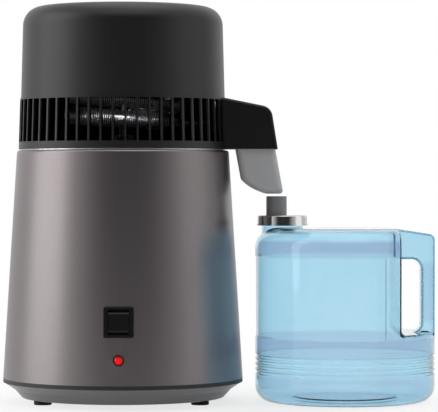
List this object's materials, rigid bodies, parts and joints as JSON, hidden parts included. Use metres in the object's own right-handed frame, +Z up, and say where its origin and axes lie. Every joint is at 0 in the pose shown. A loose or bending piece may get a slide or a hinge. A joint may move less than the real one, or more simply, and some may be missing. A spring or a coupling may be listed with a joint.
{
  "type": "countertop water distiller",
  "caption": "Countertop water distiller: a tapered metal boiler, a black fan-cooled condenser head with slatted vents and a spout, and a clear blue jug that catches the drips.",
  "frame": {"origin": "on the worktop, at the centre of the footprint of the boiler and its jug", "axes": "+X from the boiler to the jug, along the spout; +Y to the back; +Z up"},
  "size_m": [0.3914, 0.2173, 0.36],
  "materials": {
    "case_metal": "satin taupe grey",
    "pan_metal": "satin grey",
    "trim_plastic": "dark gloss",
    "foot_rubber": "matte black",
    "screw_steel": "bright plated",
    "stainless": "satin stainless",
    "cast_aluminium": "as cast",
    "element_metal": "dull sheath",
    "thermostat_body": "moulded",
    "switch_plastic": "black",
    "lamp_red": "clear red",
    "inlet_plastic": "black moulded",
    "brass": "plated",
    "silicone": "translucent white",
    "head_plastic": "satin black",
    "fan_plastic": "black",
    "motor_metal": "zinc grey",
    "nozzle_plastic": "grey",
    "sachet_paper": "filter paper",
    "jug_plastic": "clear pale blue",
    "cap_metal": "bright silver",
    "spigot_metal": "dark metallic"
  },
  "bodies": {
    "base": {"outer_case": "case_metal", "base_trim": "trim_plastic", "base_pan": "pan_metal", "foot_rear": "foot_rubber", "foot_front_left": "foot_rubber", "foot_front_right": "foot_rubber", "foot_screws": "screw_steel", "tie_pillars": "screw_steel", "pan_screws": "screw_steel", "boiling_chamber": "stainless", "heater_plate": "cast_aluminium", "heater_element": "element_metal", "thermostat": "thermostat_body", "thermal_cutout": "thermostat_body", "thermostat_screws": "screw_steel", "switch_bezel": "switch_plastic", "switch_housing": "switch_plastic", "switch_terminals": "brass", "switch_spring": "screw_steel", "lamp_holder": "switch_plastic", "lamp_lens": "lamp_red", "mains_inlet": "inlet_plastic", "mains_pins": "brass", "lead_gland": "inlet_plastic"},
    "button": {"push_button": "switch_plastic"},
    "head": {"lid_plate": "stainless", "lid_gasket": "silicone", "lid_screws": "screw_steel", "vent_ring": "head_plastic", "top_cover": "head_plastic", "cover_screws": "screw_steel", "fan_inlet": "inlet_plastic", "fan_pins": "brass", "condenser_coil": "stainless", "port_nut": "stainless", "fan_motor": "motor_metal", "motor_plate": "motor_metal", "motor_screws": "screw_steel", "plate_screws": "screw_steel", "spout_hood": "head_plastic", "hood_screws": "screw_steel", "nozzle": "nozzle_plastic", "carbon_sachet": "sachet_paper", "rear_baffle": "head_plastic"},
    "fan_rotor": {"fan": "fan_plastic", "fan_shaft": "screw_steel", "fan_nut": "screw_steel"},
    "jug": {"jug": "jug_plastic"},
    "cap": {"jug_cap": "cap_metal", "cap_seal": "silicone", "cap_spigot": "spigot_metal"}
  },
  "joints": [
    {"name": "head_lift", "type": "slide", "parent": "base", "child": "head", "axis": [0, 0, 1], "range_m": [0, 0.18]},
    {"name": "fan_spin", "type": "hinge", "parent": "head", "child": "fan_rotor", "pos_m": [-0.0871, 0, 0.3044], "axis": [0, 0, 1], "continuous": true},
    {"name": "button_press", "type": "slide", "parent": "base", "child": "button", "axis": [0, 0.9981, -0.0612], "range_m": [0, 0.0025], "stiffness_N_per_m": 400, "springref_m": -0.003, "deforming": ["switch_spring"]},
    {"name": "jug_slide", "type": "slide", "parent": "base", "child": "jug", "axis": [1, 0, 0], "range_m": [0, 0.12]},
    {"name": "cap_turn", "type": "hinge", "parent": "jug", "child": "cap", "pos_m": [0.0575, 0, 0.1594], "axis": [0, 0, 1], "range_deg": [0, 270]}
  ]
}
